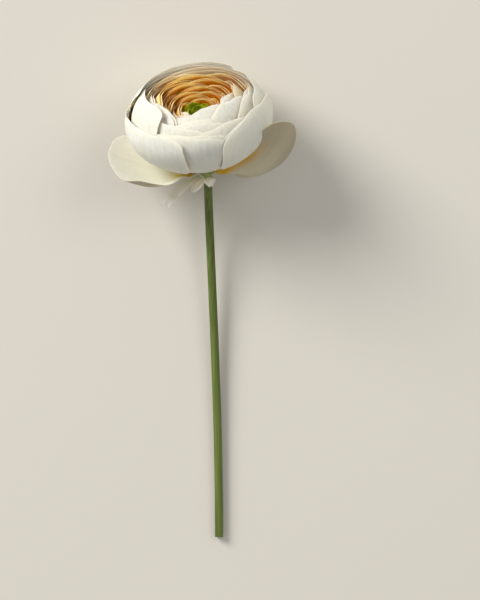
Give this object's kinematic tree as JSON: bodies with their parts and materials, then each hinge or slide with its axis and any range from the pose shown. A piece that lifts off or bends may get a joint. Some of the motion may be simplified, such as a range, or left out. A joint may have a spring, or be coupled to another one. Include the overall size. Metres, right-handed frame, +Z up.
{
  "type": "cut ranunculus",
  "caption": "Cut ranunculus with a full ball of overlapping ivory petals around an apricot and green centre, two opened guard petals and a bare curved stem, lying on its side.",
  "frame": {"origin": "the middle of the object's footprint, on the surface it lies on", "axes": "+Z up, +Y along the stem from its cut end to the flower, +X to the right of the flower"},
  "size_m": [0.0982, 0.2394, 0.0664],
  "materials": {
    "white_petal": "soft, satin, translucent",
    "apricot_petal": "soft, satin, translucent",
    "guard_petal": "soft, satin, translucent",
    "green_petaloid": "soft",
    "carpels": "soft",
    "stem": "smooth, waxy",
    "receptacle": "smooth",
    "sepal": "papery"
  },
  "bodies": {
    "root": {"carpel_cone": "carpels", "green_petaloid_1": "green_petaloid", "green_petaloid_2": "green_petaloid", "green_petaloid_3": "green_petaloid", "green_petaloid_4": "green_petaloid", "green_petaloid_5": "green_petaloid", "green_petaloid_6": "green_petaloid", "guard_petal_left": "guard_petal", "guard_petal_right": "guard_petal", "petal_01": "white_petal", "petal_02": "white_petal", "petal_03": "white_petal", "petal_04": "white_petal", "petal_05": "white_petal", "petal_06": "white_petal", "petal_07": "white_petal", "petal_08": "white_petal", "petal_09": "white_petal", "petal_10": "white_petal", "petal_11": "white_petal", "petal_12": "white_petal", "petal_13": "white_petal", "petal_14": "white_petal", "petal_15": "white_petal", "petal_16": "white_petal", "petal_17": "white_petal", "petal_18": "white_petal", "petal_19": "white_petal", "petal_20": "white_petal", "petal_21": "white_petal", "petal_22": "white_petal", "petal_23": "white_petal", "petal_24": "white_petal", "petal_25": "white_petal", "petal_26": "apricot_petal", "petal_27": "apricot_petal", "petal_28": "apricot_petal", "petal_29": "apricot_petal", "petal_30": "apricot_petal", "petal_31": "apricot_petal", "petal_32": "apricot_petal", "petal_33": "apricot_petal", "petal_34": "apricot_petal", "petal_35": "apricot_petal", "petal_36": "apricot_petal", "petal_37": "apricot_petal", "petal_38": "apricot_petal", "petal_39": "apricot_petal", "petal_40": "apricot_petal", "petal_41": "apricot_petal", "petal_42": "apricot_petal", "petal_43": "apricot_petal", "petal_44": "apricot_petal", "receptacle": "receptacle", "sepal_hidden_1": "sepal", "sepal_hidden_2": "sepal", "sepal_lobe": "sepal", "sepal_long": "sepal", "sepal_pointed": "sepal", "stem": "stem"}
  },
  "joints": []
}
